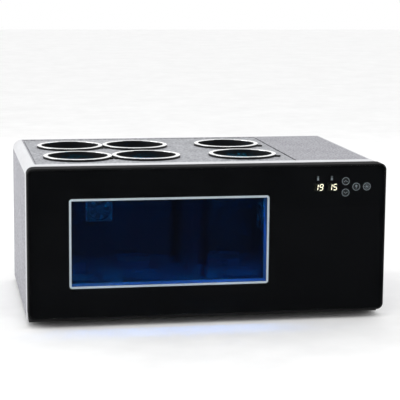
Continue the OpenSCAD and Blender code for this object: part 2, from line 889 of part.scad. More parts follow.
// Two two-digit displays, each a dark block with seven-segment digits on its face
module digit_displays() {
    block_y = [mask_y + 0.3, web_back + 2];
    pitch = 9.6;
    half_w = 2.9;
    half_h = 5.6;
    for (x = digit_x) {
        color("#0b0b0c") box(span(x, digit_size[0]), block_y, span(digit_z, digit_size[1]));
        color("#ffe9b0") for (s = [-1, 1]) {
            cx = x + s * pitch / 2;
            for (z = [-1, 0, 1]) segment(cx, digit_z + z * half_h, true);
            for (u = [-1, 1]) for (z = [-1, 1]) segment(cx + u * half_w, digit_z + z * half_h / 2, false);
        }
    }
}

// A flat bar on the print, this long, turned about its middle
module icon_bar(x, z, len, turn, thick = 0.9) {
    translate([x, z]) rotate(turn) square([len, thick], center = true);
}

// Touch icons on the print: a ring round each glyph, and a small icon over each display
module touch_icons() {
    glyph = 5;
    color("#c9ccd0")
    along_y(mask_y + 0.1, web_y - 0.1) {
        for (p = keys) translate(p) difference() {
            circle(d = key_d);
            circle(d = key_d - 2);
        }
        for (s = [-1, 1]) {
            icon_bar(keys[0][0] + s * glyph / 3, keys[0][1], glyph, -s * 35);
            icon_bar(keys[1][0] + s * glyph / 3, keys[1][1], glyph, s * 35);
        }
        translate(keys[2] + [0, 1.5]) circle(d = glyph * 0.8);
        icon_bar(keys[2][0], keys[2][1] - 1.2, glyph, 90);
        translate(keys[3]) circle(d = glyph * 0.7);
        for (a = [0:45:315]) translate(keys[3]) rotate(a) translate([glyph * 0.75, 0])
            square([glyph * 0.4, 0.8], center = true);
        for (x = digit_x) translate([x - 2, digit_z + zone_icon_up]) {
            square([1.2, zone_icon[1]], center = true);
            translate([0, -zone_icon[1] / 4]) square([3, zone_icon[1] / 2], center = true);
        }
    }
}

// Three-pole appliance inlet: a flange on the back panel and a socket behind it
module mains_inlet() {
    body = inlet_size - [20, 10];
    cavity = body - [4, 4];
    y_in = back_y - 18;
    pin = [2, 4];
    pin_len = 10;
    color("#141415")
    difference() {
        union() {
            along_y(back_y + back_t, back_y + back_t + 1.6)
                translate([inlet_x, inlet_z]) rounded(inlet_size[0], inlet_size[1], 4);
            along_y(y_in, back_y + back_t) translate([inlet_x, inlet_z]) square(body, center = true);
        }
        along_y(y_in + 3, rear + eps) translate([inlet_x, inlet_z]) square(cavity, center = true);
    }
    color("#c9b26a")
    for (p = [[-7, -2], [0, 2], [7, -2]])
        translate([inlet_x + p[0] - pin[0] / 2, y_in + 3, inlet_z + p[1] - pin[1] / 2])
            cube([pin[0], pin_len, pin[1]]);
}

// Four rubber feet, each with a recess for its screw
module feet() {
    color("#1b1b1c")
    for (p = foot_xy) translate([p[0], p[1], 0]) difference() {
        cylinder(d = foot_d, h = foot_h);
        translate([0, 0, -eps]) cylinder(d = foot_screw_d + 0.4, h = foot_h + 2 * eps);
        translate([0, 0, -eps]) cylinder(d = 2 * foot_screw_d + 2, h = 3 + eps);
    }
}

// Screws that hold the feet to the base pan
module foot_screws() {
    color("#b9bcc0")
    for (p = foot_xy) translate([p[0], p[1], 0]) {
        translate([0, 0, 1]) cylinder(d = 2 * foot_screw_d, h = 2);
        translate([0, 0, 1]) cylinder(d = foot_screw_d, h = foot_h + base_t + 5);
    }
}

// Pan-head screws round the back panel's edge
module back_screws() {
    head_h = 1.8;
    color("#b9bcc0")
    for (p = back_screw_xz) {
        round_y(p[0], p[1], 2 * back_screw_d, back_y + back_t, back_y + back_t + head_h);
        round_y(p[0], p[1], back_screw_d, back_y - 6, back_y + back_t);
    }
}

casing();
base_pan();
back_panel();
front_bezel();
front_glass();
glass_mask();
window_trim();
window_reveal();
inner_pane();
pane_gasket();
liner();
insulation();
front_foam();
bulkhead();
insert_plate();
plate_gasket();
top_foam();
ceiling_panel();
zone_divider();
divider_guides();
left_tray();
right_tray();
led_bars();
led_diffusers();
temp_probes();
for (i = [0:5]) chrome_ring(i);
for (i = [0:5]) collar(i);
at_left_unit() cold_sink(left_hot);  // cold_sink_left
at_right_unit() cold_sink(right_hot);  // cold_sink_right
at_left_unit() peltier(left_hot);  // peltier_left
at_right_unit() peltier(right_hot);  // peltier_right
at_left_unit() hot_sink(left_hot, hot_sink_left_d);  // hot_sink_left
at_right_unit() hot_sink(right_hot, hot_sink_right_d);  // hot_sink_right
at_left_unit() translate([0, 0, -fan_t - 1]) fan_frame(cold_fan_w);  // cold_fan_frame_left
at_right_unit() translate([0, 0, -fan_t - 1]) fan_frame(cold_fan_w);  // cold_fan_frame_right
at_left_unit() translate([0, 0, -fan_t - 1]) fan_rotor(cold_fan_w);  // cold_fan_rotor_left
at_right_unit() translate([0, 0, -fan_t - 1]) fan_rotor(cold_fan_w);  // cold_fan_rotor_right
at_back_fan(left_unit_x) fan_frame(hot_fan_w);  // hot_fan_frame_left
at_back_fan(exhaust_x) fan_frame(hot_fan_w);  // hot_fan_frame_right
at_back_fan(left_unit_x) fan_rotor(hot_fan_w);  // hot_fan_rotor_left
at_back_fan(exhaust_x) fan_rotor(hot_fan_w);  // hot_fan_rotor_right
power_supply();
control_board();
display_board();
digit_displays();
touch_icons();
mains_inlet();
feet();
foot_screws();
back_screws();
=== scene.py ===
# Counter-top wine cooler for six open bottles: every surface and finish, in the order in
# which the cooler is put together, then the studio round it. All sizes are in metres.
from math import cos, pi, radians, sin

import bmesh
import bpy
from mathutils import Matrix, Vector


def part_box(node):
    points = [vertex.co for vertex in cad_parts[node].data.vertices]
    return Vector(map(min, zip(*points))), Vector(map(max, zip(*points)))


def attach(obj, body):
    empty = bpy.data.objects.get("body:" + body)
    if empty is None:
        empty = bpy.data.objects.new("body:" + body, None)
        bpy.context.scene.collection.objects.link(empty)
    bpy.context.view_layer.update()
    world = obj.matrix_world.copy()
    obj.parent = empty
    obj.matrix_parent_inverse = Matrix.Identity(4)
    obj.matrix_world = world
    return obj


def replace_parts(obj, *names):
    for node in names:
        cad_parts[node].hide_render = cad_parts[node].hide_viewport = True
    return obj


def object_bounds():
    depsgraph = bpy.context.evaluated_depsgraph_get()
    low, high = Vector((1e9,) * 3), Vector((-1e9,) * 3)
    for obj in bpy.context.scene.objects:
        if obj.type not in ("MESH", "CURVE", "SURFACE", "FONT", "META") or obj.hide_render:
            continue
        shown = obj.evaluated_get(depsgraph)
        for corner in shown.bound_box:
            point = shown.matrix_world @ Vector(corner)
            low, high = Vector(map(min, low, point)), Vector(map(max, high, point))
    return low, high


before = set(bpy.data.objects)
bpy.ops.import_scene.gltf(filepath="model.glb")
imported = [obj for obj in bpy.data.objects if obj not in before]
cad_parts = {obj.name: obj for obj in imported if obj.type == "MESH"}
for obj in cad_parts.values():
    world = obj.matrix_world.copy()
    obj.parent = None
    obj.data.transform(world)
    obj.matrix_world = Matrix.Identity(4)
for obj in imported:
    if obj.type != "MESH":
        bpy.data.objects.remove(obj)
cad_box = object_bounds()

# Base pan, feet and foot screws
# A shallow tray folded from sheet steel and dipped in black paint, under the whole
# cooler. Four rubber feet are screwed up into it, each with a steel washer-head screw.
MM = 0.001


def linear(code):
    """An sRGB hex colour as linear RGBA."""
    parts = [int(code[i:i + 2], 16) / 255 for i in (1, 3, 5)]
    return [p / 12.92 if p <= 0.04045 else ((p + 0.055) / 1.055) ** 2.4 for p in parts] + [1]


def add(tree, kind, settings={}, links={}):
    """Add a node to a material, set its inputs or its own properties, and join it up."""
    node = tree.nodes.new("ShaderNode" + kind)
    for key, value in settings.items():
        if isinstance(key, int) or key in node.inputs:
            node.inputs[key].default_value = value
        else:
            setattr(node, key, value)
    for key, socket in links.items():
        tree.links.new(socket, node.inputs[key])
    return node


def finish(name, tones, roughness, grain, relief, pattern="TexNoise", spread=0.3, drift=1,
           **settings):
    """A material whose colour and gloss follow a grain of this real size in metres and a
    slow drift of this share, and whose surface rises and falls with the grain by this
    relief."""
    made = bpy.data.materials.new(name)
    made.use_nodes = True
    tree = made.node_tree
    shader = tree.nodes["Principled BSDF"]
    for key, value in settings.items():
        shader.inputs[key.replace("_", " ")].default_value = value
    place = add(tree, "TexCoord").outputs["Object"]
    height = add(tree, pattern, {"Scale": 1 / grain}, {"Vector": place}).outputs[0]
    patches = add(tree, "TexNoise", {"Scale": 1 / (60 * MM), "Detail": 4}, {"Vector": place})
    blend = add(tree, "Math", {"operation": "MULTIPLY_ADD", 1: drift},
                {0: patches.outputs["Fac"], 2: height})
    middle = (1 + drift) / 2
    span = add(tree, "MapRange", {"From Min": middle - spread, "From Max": middle + spread},
               {"Value": blend.outputs[0]})
    tone = add(tree, "Mix", {"data_type": "RGBA", 6: linear(tones[0]), 7: linear(tones[1])},
               {0: span.outputs[0]})
    gloss = add(tree, "MapRange", {"To Min": roughness[0], "To Max": roughness[1]},
                {"Value": span.outputs[0]})
    bump = add(tree, "Bump", {"Distance": relief, "Strength": 0.6}, {"Height": height})
    tree.links.new(tone.outputs[2], shader.inputs["Base Color"])
    tree.links.new(gloss.outputs[0], shader.inputs["Roughness"])
    tree.links.new(bump.outputs[0], shader.inputs["Normal"])
    return made


def coat(material, *nodes):
    """Give the material to these parts of the frame."""
    for node in nodes:
        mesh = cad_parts[node].data
        mesh.materials.clear()
        mesh.materials.append(material)


def disc(x, y, radius, steps=96):
    """An outline: a circle, drawn smaller by any cut."""
    def outline(cut):
        turns = [2 * pi * step / steps for step in range(steps)]
        return [(x + (radius - cut) * cos(a), y + (radius - cut) * sin(a)) for a in turns]
    return outline


def eased(low, high, edge, steps=4):
    """Stations of a plate between two depths with both its edges rounded over."""
    curve = [(edge * (1 - sin(pi / 2 * i / steps)), edge * (1 - cos(pi / 2 * i / steps)))
             for i in range(steps + 1)]
    near = [(low + depth, cut) for depth, cut in reversed(curve)] + [(low + 1.3 * edge, 0)]
    far = [(high - 1.3 * edge, 0)] + [(high - depth, cut) for depth, cut in curve]
    return near + far


def sweep(form, outlines, stations, place, capped=True, material=0):
    """Add a body to form. Each station is a depth and how far the edge is cut back there;
    the first outline is the outside and the others are holes through it."""
    ends = ([], [])
    for number, outline in enumerate(outlines):
        way = 1 if number == 0 else -1
        rings = [[form.verts.new(place(u, v, depth)) for u, v in outline(way * cut)]
                 for depth, cut in stations]
        for low, high in zip(rings, rings[1:] if capped else rings[1:] + rings[:1]):
            for i in range(len(low)):
                side = form.faces.new((low[i - 1], low[i], high[i], high[i - 1]))
                side.smooth, side.material_index = True, material
        for end, ring in zip(ends, (rings[0], rings[-1])):
            end += [form.edges.get((ring[i - 1], ring[i])) for i in range(len(ring))]
    for end in ends if capped else ():
        for face in bmesh.ops.triangle_fill(form, edges=end, use_beauty=True)["geom"]:
            if isinstance(face, bmesh.types.BMFace):
                face.material_index = material


def show(form, name, body, replaced, materials, outward=True):
    """Make a shown piece of form, riding on this body in place of these frame parts."""
    if outward:
        bmesh.ops.recalc_face_normals(form, faces=form.faces)
    mesh = bpy.data.meshes.new(name)
    form.to_mesh(mesh)
    form.free()
    for material in materials:
        mesh.materials.append(material)
    mesh.set_sharp_from_angle(angle=radians(32))
    piece = bpy.data.objects.new(name, mesh)
    bpy.context.scene.collection.objects.link(piece)
    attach(piece, body)
    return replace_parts(piece, *replaced)


def level(u, v, height):
    """A point of an outline that lies flat."""
    return u, v, height


def solids(node):
    """The lowest and highest corners of each separate solid in a part of the frame."""
    form = bmesh.new()
    form.from_mesh(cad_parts[node].data)
    bmesh.ops.remove_doubles(form, verts=form.verts, dist=0.01 * MM)
    left, boxes = set(form.verts), []
    while left:
        queue, island = [left.pop()], []
        while queue:
            island.append(queue.pop())
            near = {edge.other_vert(island[-1]) for edge in island[-1].link_edges} & left
            left -= near
            queue += near
        corners = list(zip(*(vert.co for vert in island)))
        boxes.append([Vector([pick(values) for values in corners]) for pick in (min, max)])
    form.free()
    return sorted(boxes, key=lambda box: tuple(box[0]))


# Dipped paint: nearly black, with a soft sheen and a slight orange peel
coat(finish("black_dipped_steel", ("#1a1a1b", "#242425"), (0.38, 0.52), 2.5 * MM, 0.05 * MM,
            Metallic=0.0), "base_pan")
# Moulded rubber: dull and a little grey where it has been handled
foot_rubber = finish("black_moulded_rubber", ("#161617", "#232324"), (0.7, 0.85), 1.2 * MM,
                     0.06 * MM)
FOOT_SCREW_HOLE = 2.2 * MM
FOOT_EDGE = 1.6 * MM
form = bmesh.new()
for low, high in solids("feet"):
    middle = (low + high) / 2
    sweep(form, [disc(middle.x, middle.y, (high.x - low.x) / 2),
                 disc(middle.x, middle.y, FOOT_SCREW_HOLE + FOOT_EDGE)],
          eased(low.z, high.z, FOOT_EDGE), level)
show(form, "rubber_feet", "cabinet", ["feet"], [foot_rubber])
# Zinc-plated steel: a cool grey metal with a faint yellow drift
coat(finish("zinc_plated_steel", ("#a9abab", "#c9c7bd"), (0.25, 0.4), 1.5 * MM, 0.01 * MM,
            Metallic=1.0), "foot_screws")

# Chamber liner, foam and bulkhead
# The liner is vacuum-formed from glossy charcoal ABS sheet. Polyurethane foam is poured
# round it and against the zinc-coated wall of the machine compartment.
# Formed ABS: dark and smooth, so the blue light runs down it in soft streaks
charcoal_abs = finish("charcoal_formed_abs", ("#0c1016", "#141a22"), (0.16, 0.26), 18 * MM,
                      0.02 * MM)
coat(charcoal_abs, "liner")
# Poured foam: cream skin with a fine cell pattern, drawn 2 mm wide so that it shows
cream_foam = finish("polyurethane_foam", ("#d9c98f", "#efe3b8"), (0.8, 0.95), 2 * MM, 0.4 * MM,
                    "TexVoronoi")
coat(cream_foam, "insulation", "front_foam")
# Hot-dip zinc: grey metal with crystal flakes about 9 mm wide
zinc_sheet = finish("hot_dip_zinc_sheet", ("#8d9194", "#c2c5c7"), (0.3, 0.5), 9 * MM, 0.02 * MM,
                    "TexVoronoi", Metallic=1.0)
coat(zinc_sheet, "bulkhead")

# Cooling units
# Each zone has an extruded aluminium cold sink, a ceramic Peltier module and a larger
# hot sink, pressed together, with a small fan inside and a larger one at the back.
# Extruded aluminium: bright grey with a fine drawn grain about a millimetre wide
coat(finish("extruded_aluminium", ("#b4b8bc", "#d2d5d8"), (0.3, 0.45), 1 * MM, 0.03 * MM,
            Metallic=1.0), "cold_sink_left", "cold_sink_right", "hot_sink_left", "hot_sink_right")
# Alumina ceramic: matt white, faintly speckled
coat(finish("white_alumina_ceramic", ("#e4e3dd", "#f3f2ee"), (0.45, 0.6), 0.8 * MM, 0.01 * MM),
     "peltier_left", "peltier_right")
# Glass-filled plastic: black with a slight grey bloom
fan_plastic = finish("black_glass_filled_plastic", ("#121213", "#1f2021"), (0.4, 0.55), 1 * MM,
                     0.03 * MM)
coat(fan_plastic, "cold_fan_frame_left", "cold_fan_frame_right",
     "hot_fan_frame_left", "hot_fan_frame_right")
# Unfilled plastic: a little paler and glossier than the frame round it
rotor_plastic = finish("grey_rotor_plastic", ("#26272a", "#313236"), (0.32, 0.45), 1 * MM,
                       0.02 * MM)
coat(rotor_plastic, "cold_fan_rotor_left", "cold_fan_rotor_right",
     "hot_fan_rotor_left", "hot_fan_rotor_right")

# Trays, divider and ceiling
# Clear moulded trays with a rimmed cup under each well, a clear acrylic wall between the
# zones held in two clear channels, and a ceiling panel that clips in over them.


def clear(name, tint, mirror, roughness, grain):
    """A see-through plastic or glass: the light goes straight on, tinted, and more of it
    is mirrored at a slant than the share mirrored head-on."""
    made = bpy.data.materials.new(name)
    made.use_nodes = True
    tree = made.node_tree
    tree.nodes.remove(tree.nodes["Principled BSDF"])
    place = add(tree, "TexCoord").outputs["Object"]
    wave = add(tree, "TexNoise", {"Scale": 1 / grain, "Detail": 2}, {"Vector": place})
    haze = add(tree, "MapRange", {"To Min": roughness[0], "To Max": roughness[1]},
               {"Value": wave.outputs["Fac"]})
    through = add(tree, "BsdfTransparent", {"Color": linear(tint)})
    shine = add(tree, "BsdfGlossy", {"Color": linear("#ffffff")},
                {"Roughness": haze.outputs[0]})
    slant = add(tree, "LayerWeight", {"Blend": 0.5}).outputs["Facing"]
    rise = add(tree, "Math", {"operation": "POWER", 1: 5.0}, {0: slant})
    share = add(tree, "Math", {"operation": "MULTIPLY_ADD", 1: 1 - mirror, 2: mirror},
                {0: rise.outputs[0]})
    both = add(tree, "MixShader", {}, {0: share.outputs[0], 1: through.outputs[0],
                                       2: shine.outputs[0]})
    tree.links.new(both.outputs[0], tree.nodes["Material Output"].inputs["Surface"])
    return made


coat(charcoal_abs, "ceiling_panel")
# Moulded polystyrene, coloured a dark blue-grey as painted light from the blue light bars
coat(finish("tray_painted_blue_light", ("#141f2a", "#1d2c3b"), (0.12, 0.22), 8 * MM, 0.02 * MM,
            Specular_IOR_Level=0.6), "left_tray", "right_tray")
# Cast acrylic sheet: clear, with the faint waviness of the casting
coat(clear("cast_acrylic", "#e2edf6", 0.04, (0.01, 0.05), 40 * MM), "zone_divider",
     "divider_guides")

# Light bars and sensors
# A folded aluminium channel across the front of each zone's ceiling holds a row of blue
# diodes behind a frosted strip. A steel sensor capsule sits in a clip on each back wall.
# Anodised aluminium: an even satin grey with very little grain
coat(finish("anodised_aluminium", ("#a9adb2", "#c6cacf"), (0.28, 0.4), 0.8 * MM, 0.02 * MM,
            Metallic=1.0), "led_bars")
LED_BLUE = "#12b8ff"
LED_GLOW = 12.0
# Frosted acrylic: milky, and lit an even azure from behind
lit_strip = finish("frosted_lit_acrylic", ("#dfeaff", "#f2f7ff"), (0.4, 0.5), 2 * MM, 0.02 * MM)
shader = lit_strip.node_tree.nodes["Principled BSDF"]
shader.inputs["Emission Color"].default_value = linear(LED_BLUE)
shader.inputs["Emission Strength"].default_value = LED_GLOW
coat(lit_strip, "led_diffusers")
STRIP_WATTS = 6.5
STRIP_TILT = radians(34)
for number, (low, high) in enumerate(solids("led_diffusers")):
    lamp = bpy.data.lights.new(f"light_strip_{number + 1}", "AREA")
    lamp.shape, lamp.size, lamp.size_y = "RECTANGLE", high.x - low.x, high.y - low.y
    lamp.energy, lamp.color = STRIP_WATTS, linear(LED_BLUE)[:3]
    holder = bpy.data.objects.new(lamp.name, lamp)
    holder.location = ((low.x + high.x) / 2, (low.y + high.y) / 2, low.z - MM)
    holder.rotation_euler = (STRIP_TILT, 0, 0)
    bpy.context.scene.collection.objects.link(holder)
# Brushed stainless steel: a bright, slightly blurred metal
coat(finish("brushed_stainless_capsule", ("#b0b3b6", "#cfd1d3"), (0.22, 0.34), 0.7 * MM,
            0.02 * MM, Metallic=1.0), "temp_probes")

# Front bezel and window reveal
# The bezel is one deep ABS moulding that carries the front glass. A reveal behind its window,
# coloured blue-grey as painted light from the chamber, holds the inner pane, with a rubber frame
# pushed in behind the pane.
# Moulded ABS: black, with the low sheen of a lightly etched mould
black_abs = finish("black_moulded_abs", ("#141415", "#1e1e1f"), (0.5, 0.62), 0.9 * MM,
                   0.03 * MM, Specular_IOR_Level=0.02)
PANEL_CORNER = 12 * MM
PANEL_RIM = 3 * MM
PANEL_EDGE = 2 * MM
WEB = 3 * MM


def round_corners(across, up, radius, steps=10):
    """An outline: a rectangle between two values each way, with round corners."""
    def outline(cut):
        bend = max(radius - cut, 0.1 * MM)
        x0, x1 = across[0] + cut + bend, across[1] - cut - bend
        z0, z1 = up[0] + cut + bend, up[1] - cut - bend
        corners = ((x1, z1, 0), (x0, z1, 90), (x0, z0, 180), (x1, z0, 270))
        turns = [90 * step / steps for step in range(steps + 1)]
        return [(x + bend * cos(radians(start + turn)), z + bend * sin(radians(start + turn)))
                for x, z, start in corners for turn in turns]
    return outline


def upright(u, v, depth):
    """A point of an outline that stands facing the front."""
    return u, depth, v


low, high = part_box("front_bezel")
mask_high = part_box("glass_mask")[1]
view_low, view_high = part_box("window_reveal")
board_low, board_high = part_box("display_board")
panel = round_corners((low.x, high.x), (low.z, high.z), PANEL_CORNER)
web_back = mask_high.y + WEB
rim = [(low.y, PANEL_RIM)] + eased(low.y, high.y, PANEL_EDGE)
rim += [(high.y, PANEL_RIM), (web_back, PANEL_RIM)]
TRIM = 4 * MM
REVEAL_WALL = TRIM + 3 * MM
BOARD_LAP = (6 * MM, 4 * MM)
inset = round_corners((low.x + PANEL_RIM, high.x - PANEL_RIM),
                      (low.z + PANEL_RIM, high.z - PANEL_RIM), PANEL_CORNER - PANEL_RIM)
window = round_corners((view_low.x + REVEAL_WALL, view_high.x - REVEAL_WALL),
                       (view_low.z + REVEAL_WALL, view_high.z - REVEAL_WALL), 1.5 * MM)
board_hole = round_corners((board_low.x + BOARD_LAP[0], board_high.x - BOARD_LAP[0]),
                           (board_low.z + BOARD_LAP[1], board_high.z - BOARD_LAP[1]), MM)
form = bmesh.new()
sweep(form, [panel], rim, upright, capped=False)
sweep(form, [inset, window, board_hole], [(mask_high.y, 0), (web_back, 0)], upright)
show(form, "bezel", "cabinet", ["front_bezel"], [black_abs])
# Smooth moulded ABS, coloured a clear blue-grey as painted blue light from the chamber behind it
coat(finish("reveal_abs_painted_blue_light", ("#34629a", "#4474ac"), (0.2, 0.3), 1 * MM, 0.02 * MM),
     "window_reveal")
# Float glass: colourless, mirror-smooth, with polished edges
clear_pane = clear("toughened_float_glass", "#f6f9fa", 0.02, (0.0, 0.02), 120 * MM)
GLASS_EDGE = 0.6 * MM
low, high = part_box("front_glass")
form = bmesh.new()
sweep(form, [round_corners((low.x, high.x), (low.z, high.z), PANEL_CORNER - PANEL_RIM)],
      eased(low.y, high.y, GLASS_EDGE), upright)
show(form, "front_pane", "cabinet", ["front_glass"], [clear_pane])
# Tinted glass: grey-blue, so that daylight stays out of the chamber
coat(clear("tinted_float_glass", "#93a6bb", 0.02, (0.0, 0.02), 120 * MM), "inner_pane")
# Extruded rubber: dull black with a fine matt skin
seal_rubber = finish("black_seal_rubber", ("#101011", "#1b1b1c"), (0.6, 0.75), 1 * MM, 0.04 * MM)
coat(seal_rubber, "pane_gasket")
# Screen-printed enamel: dead black, seen through the glass
coat(finish("black_screen_print", ("#0b0b0d", "#101012"), (0.5, 0.6), 3 * MM, 0.01 * MM,
            Specular_IOR_Level=0.05), "glass_mask")
# Silver-white print: the bright line round the window
coat(finish("silver_white_print", ("#b9bec4", "#d2d6da"), (0.4, 0.5), 2 * MM, 0.01 * MM),
     "window_trim")

# Display board, digits and touch icons
# A black circuit board behind the glass carries two two-digit displays. The touch icons
# are printed on the glass, over the board's pads.
# Black solder mask: a dark, even sheen that hides behind the glass
coat(finish("black_solder_mask", ("#08090a", "#101214"), (0.3, 0.42), 3 * MM, 0.03 * MM),
     "display_board")
DISPLAY = (21 * MM, 15 * MM)
DIGIT_PITCH, HALF_WIDE, HALF_HIGH = 9.4 * MM, 2.9 * MM, 5.4 * MM
SEGMENT, SEGMENT_WIDE = 5.0 * MM, 1.15 * MM
LEAN = 0.14
SEGMENTS = {"a": (0, 1, True), "b": (1, 0.5, False), "c": (1, -0.5, False), "d": (0, -1, True),
            "e": (-1, -0.5, False), "f": (-1, 0.5, False), "g": (0, 0, True)}
SHOWN = {"1": "bc", "9": "abcdfg", "5": "acdfg"}
# Dark filter: glossy and nearly black, with warm bars that glow and olive ones that don't
dark_filter = finish("dark_display_filter", ("#060606", "#0a0a0a"), (0.2, 0.3), 2 * MM, 0)
unlit_segment = finish("unlit_segment", ("#2a2a1c", "#35341f"), (0.4, 0.5), 2 * MM, 0)
lit_segment = finish("lit_warm_segment", ("#fff3d6", "#fff9ea"), (0.4, 0.5), 2 * MM, 0)
glow = lit_segment.node_tree.nodes["Principled BSDF"]
glow.inputs["Emission Color"].default_value = linear("#ffefc8")
glow.inputs["Emission Strength"].default_value = 1.6
low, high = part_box("digit_displays")
middle_z = (low.z + high.z) / 2
face_y = low.y + 0.2 * MM
form = bmesh.new()
for middle_x, digits in ((low.x + DISPLAY[0] / 2, "19"), (high.x - DISPLAY[0] / 2, "15")):
    block = round_corners((middle_x - DISPLAY[0] / 2, middle_x + DISPLAY[0] / 2),
                          (low.z, high.z), 0.8 * MM)
    sweep(form, [block], eased(face_y, high.y, 0.3 * MM), upright)
    for side, digit in zip((-1, 1), digits):
        for key, (across, up, flat) in SEGMENTS.items():
            x = middle_x + side * DIGIT_PITCH / 2 + across * HALF_WIDE
            z = middle_z + up * HALF_HIGH
            long, wide = SEGMENT / 2, SEGMENT_WIDE / 2
            bar = [(-long, 0), (wide - long, wide), (long - wide, wide), (long, 0),
                   (long - wide, -wide), (wide - long, -wide)]
            bar = [(x + (u if flat else v), z + (v if flat else u)) for u, v in bar]
            bar = [(u + LEAN * (v - middle_z), v) for u, v in bar]
            sweep(form, [lambda cut, bar=bar: bar], [(low.y, 0), (face_y, 0)], upright,
                  material=1 if key in SHOWN[digit] else 2)
show(form, "digit_display_pair", "cabinet", ["digit_displays"],
     [dark_filter, lit_segment, unlit_segment])
# Screen-printed enamel: thin, matt mid-grey lines
coat(finish("grey_icon_print", ("#8a8d91", "#a9acb0"), (0.4, 0.5), 1 * MM, 0.01 * MM),
     "touch_icons")

# Power supply and control board
# A folded zinc-coated box on the base pan, with cooling slots in its lid, and a circuit
# board on four posts beside it.
coat(zinc_sheet, "power_supply")
# Solder mask: green, with the lighter tracks showing through, drawn 3 mm apart
coat(finish("green_solder_mask", ("#123a20", "#2a6b3c"), (0.3, 0.42), 3 * MM, 0.05 * MM,
            "TexVoronoi"), "control_board")

# Back panel, mains inlet and back screws
# A flat steel sheet inside the casing's rear edge, slotted over the two fans, with a
# three-pole inlet for a separate lead. Pan-head screws hold it to the casing's flange.
# Powder coat: matt dark grey with an orange peel about a millimetre wide
coat(finish("grey_powder_coated_steel", ("#303134", "#3d3e42"), (0.5, 0.62), 1.4 * MM, 0.08 * MM),
     "back_panel")
# Moulded plastic round tinned pins: soft black against a pale, warm metal
inlet_plastic = finish("black_inlet_plastic", ("#131314", "#1c1c1d"), (0.4, 0.52), 1 * MM,
                       0.02 * MM)
brass = finish("tinned_brass", ("#b09a5c", "#c9b87e"), (0.25, 0.35), 1 * MM, 0, Metallic=1.0)
FLANGE, SOCKET, SOCKET_WALL = 1.6 * MM, (28 * MM, 20 * MM), 2 * MM
PINS = ((-7, -2), (0, 2), (7, -2))
PIN, PIN_LONG = (2 * MM, 4 * MM), 10 * MM
low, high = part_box("mains_inlet")
middle = (low + high) / 2
body = round_corners((middle.x - SOCKET[0] / 2, middle.x + SOCKET[0] / 2),
                     (middle.z - SOCKET[1] / 2, middle.z + SOCKET[1] / 2), MM)
cavity = round_corners(
    (middle.x - SOCKET[0] / 2 + SOCKET_WALL, middle.x + SOCKET[0] / 2 - SOCKET_WALL),
    (middle.z - SOCKET[1] / 2 + SOCKET_WALL, middle.z + SOCKET[1] / 2 - SOCKET_WALL), 2 * MM)
floor_y = low.y + 3 * MM
form = bmesh.new()
sweep(form, [round_corners((low.x, high.x), (low.z, high.z), 4 * MM), cavity],
      eased(high.y - FLANGE, high.y, 0.5 * MM), upright)
sweep(form, [body, cavity], [(floor_y, 0), (high.y - FLANGE, 0)], upright)
sweep(form, [body], [(low.y, 0), (floor_y, 0)], upright)
for x, z in PINS:
    x, z = middle.x + x * MM, middle.z + z * MM
    sweep(form, [round_corners((x - PIN[0] / 2, x + PIN[0] / 2), (z - PIN[1] / 2, z + PIN[1] / 2),
                               0.4 * MM)],
          eased(floor_y, floor_y + PIN_LONG, 0.4 * MM), upright, material=1)
show(form, "appliance_inlet", "cabinet", ["mains_inlet"],
     [inlet_plastic, brass])

HEAD, HEAD_DOME = 1.8 * MM, 0.9 * MM
CROSS = (2.1 * MM, 0.5 * MM)
# Nickel plate: a bright, neutral metal that catches the light on its dome
nickel = finish("nickel_plated_screw", ("#9a9c9e", "#c0c1c2"), (0.25, 0.38), 1 * MM, 0,
                Metallic=1.0)
form = bmesh.new()
for low, high in solids("back_screws"):
    x, z, radius = (low.x + high.x) / 2, (low.z + high.z) / 2, (high.x - low.x) / 2
    arm, half = CROSS
    cross = [(arm, half), (half, half), (half, arm), (-half, arm), (-half, half), (-arm, half),
             (-arm, -half), (-half, -half), (-half, -arm), (half, -arm), (half, -half),
             (arm, -half)]
    cross = [(x + u, z + v) for u, v in cross]
    base = high.y - HEAD
    dome = [(base + (HEAD - HEAD_DOME) + HEAD_DOME * sin(radians(a)),
             HEAD_DOME * (1 - cos(radians(a)))) for a in (0, 30, 60, 90)]
    sweep(form, [disc(x, z, radius, 32), lambda cut, cross=cross: cross],
          [(base, 0)] + dome, upright)
    sweep(form, [disc(x, z, radius / 2, 24)], [(low.y, 0.4 * MM), (base, 0)], upright)
show(form, "pan_head_screws", "cabinet", ["back_screws"], [nickel])

# Casing, seal and insert plate
# One textured steel sheet is bent over both sides and the top. The insert plate lies in
# its cut-out on a rubber seal, over a slab of foam.
# Embossed coat: pebbles about 4 mm wide in matt silver paint, painted lighter on their tops and
# darker in their hollows as painted light and shade
GRAIN = 4 * MM
silver_coat_pebble_shade = finish("silver_embossed_painted_shade", ("#78787e", "#b4b4ba"), (0.5, 0.62), GRAIN,
                        0.3 * MM, spread=0.16, drift=0.15, Specular_IOR_Level=0.1)
# Satin silver: smooth bends and front margin, where the coat is not embossed; their lighter
# colour is a painted highlight
satin_painted_highlight = finish("silver_satin_painted_highlight", ("#c4c5c8", "#d6d7da"), (0.34, 0.44), 6 * MM,
                      0.004 * MM, Metallic=0.3)
SHEET, BEND, BEND_STEPS = 1.5 * MM, 16 * MM, 12
FLANGE_WIDE, SEAM = 12 * MM, 1.5 * MM
low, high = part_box("casing")
plate_low, plate_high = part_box("insert_plate")
back_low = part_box("back_panel")[0]


